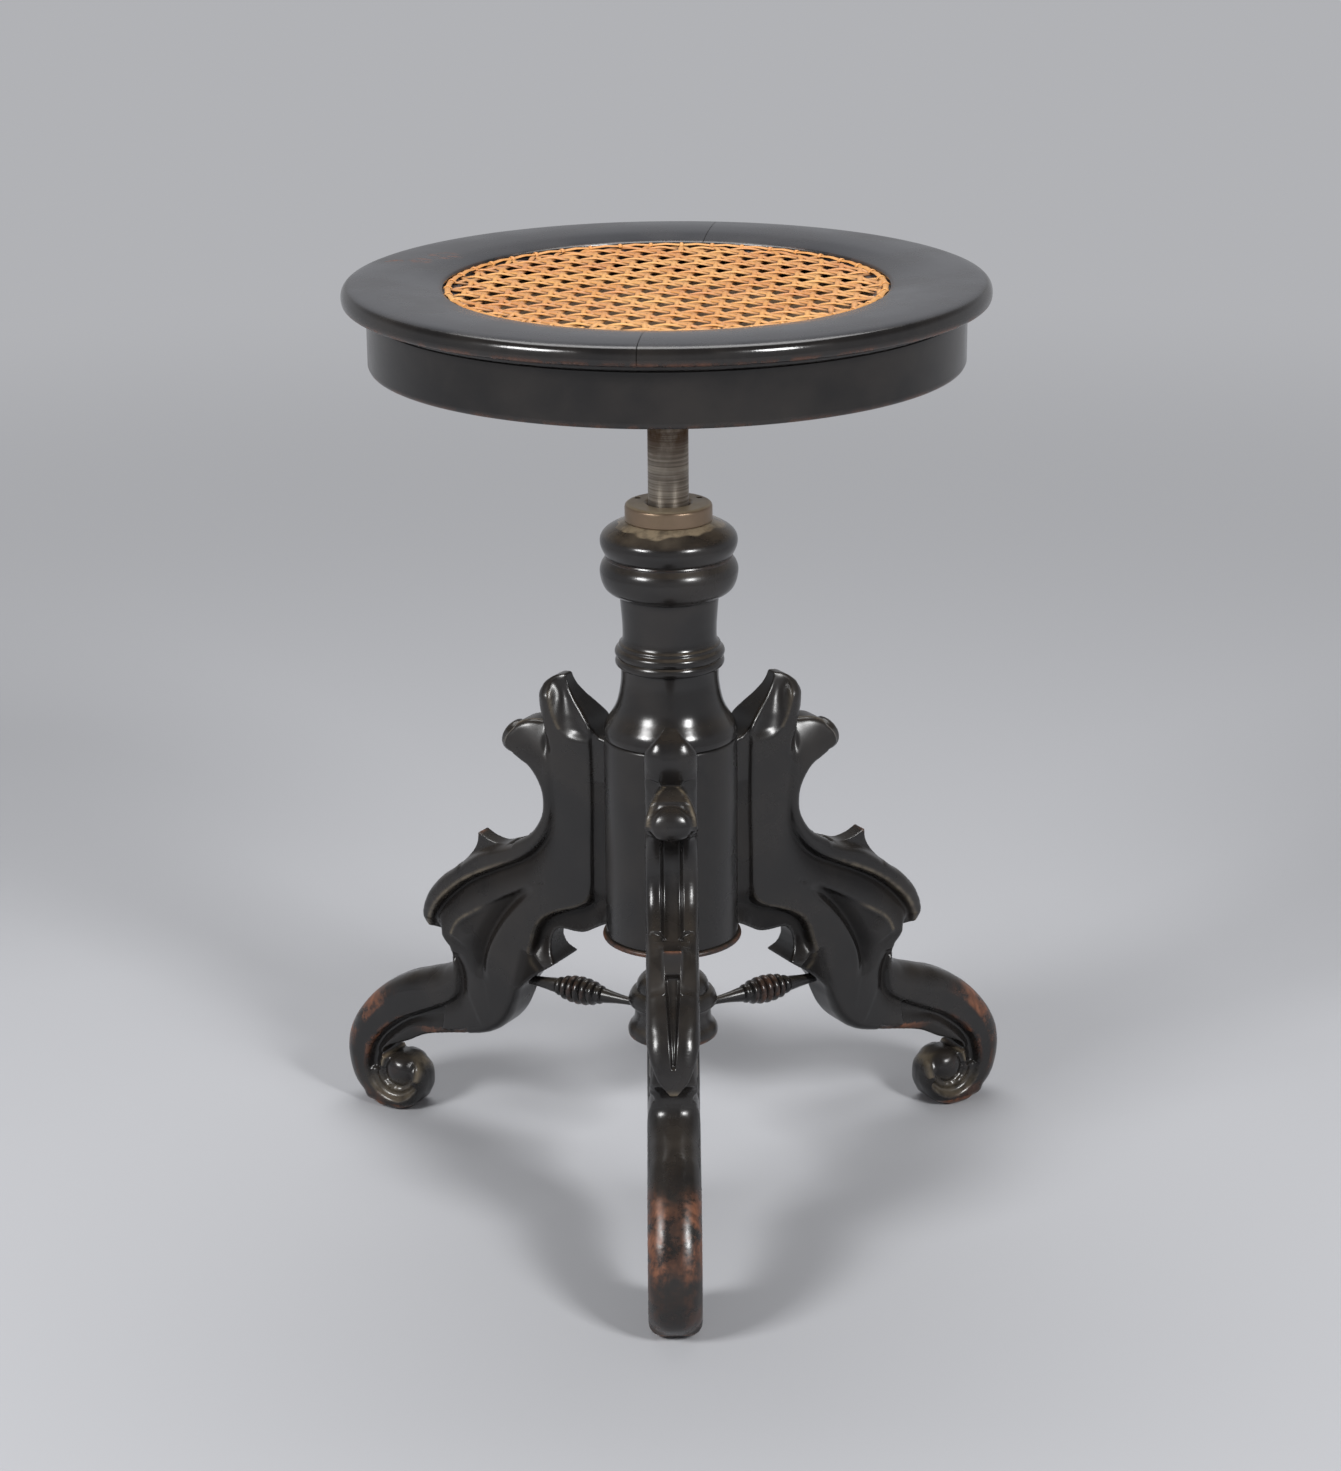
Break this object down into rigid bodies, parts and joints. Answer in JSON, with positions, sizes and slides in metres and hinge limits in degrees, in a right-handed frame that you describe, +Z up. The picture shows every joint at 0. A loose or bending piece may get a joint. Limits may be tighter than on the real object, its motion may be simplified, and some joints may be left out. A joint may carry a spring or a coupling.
{
  "type": "revolving piano stool",
  "caption": "Revolving stool with a round caned seat on a screw spindle, over a turned pillar with scrolled legs tied to a hub by turned stretchers.",
  "frame": {"origin": "on the floor, at the middle of the stool's bounding box", "axes": "+Z up; the front leg points along -Y; the pillar's axis is parallel to Z, 24.65 mm behind the origin"},
  "size_m": [0.4042, 0.4, 0.5273],
  "materials": {
    "ebonised_wood": "black-stained and polished, worn to brown on edges",
    "plain_wood": "unfinished",
    "cane": "woven rattan cane, darkened with age",
    "steel": "turned, with brown stains",
    "iron": "as cast, dark",
    "bronze": "tarnished brown"
  },
  "bodies": {
    "base": {"column_drum": "ebonised_wood", "column_base_disc": "ebonised_wood", "column_vase": "ebonised_wood", "guide_collar": "bronze", "lift_screw": "steel", "stop_nut": "steel", "screw_foot_plate": "iron", "foot_screws": "steel", "leg_front": "ebonised_wood", "leg_right": "ebonised_wood", "leg_left": "ebonised_wood", "dowels_front": "plain_wood", "dowels_right": "plain_wood", "dowels_left": "plain_wood", "stretcher_front": "ebonised_wood", "stretcher_right": "ebonised_wood", "stretcher_left": "ebonised_wood", "stretcher_hub": "ebonised_wood"},
    "screw_nut": {"lift_nut": "bronze"},
    "seat": {"spindle_tube": "steel", "seat_spider": "iron", "spider_screws": "steel", "seat_board": "plain_wood", "seat_apron": "ebonised_wood", "glue_blocks": "plain_wood", "seat_ring_left": "ebonised_wood", "seat_ring_right": "ebonised_wood", "cane_panel": "cane", "cane_binder": "cane"}
  },
  "joints": [
    {"name": "seat_rise", "type": "slide", "parent": "base", "child": "screw_nut", "axis": [0, 0, 1], "range_m": [-0.0601, 0.0481]},
    {"name": "seat_turn", "type": "hinge", "parent": "screw_nut", "child": "seat", "pos_m": [0, 0.02465, 0], "axis": [0, 0, 1], "range_deg": [-3600, 2880]}
  ],
  "couplings": [
    {"joint": "seat_rise", "follows": "seat_turn", "m_per_rad": 0.00095493}
  ]
}
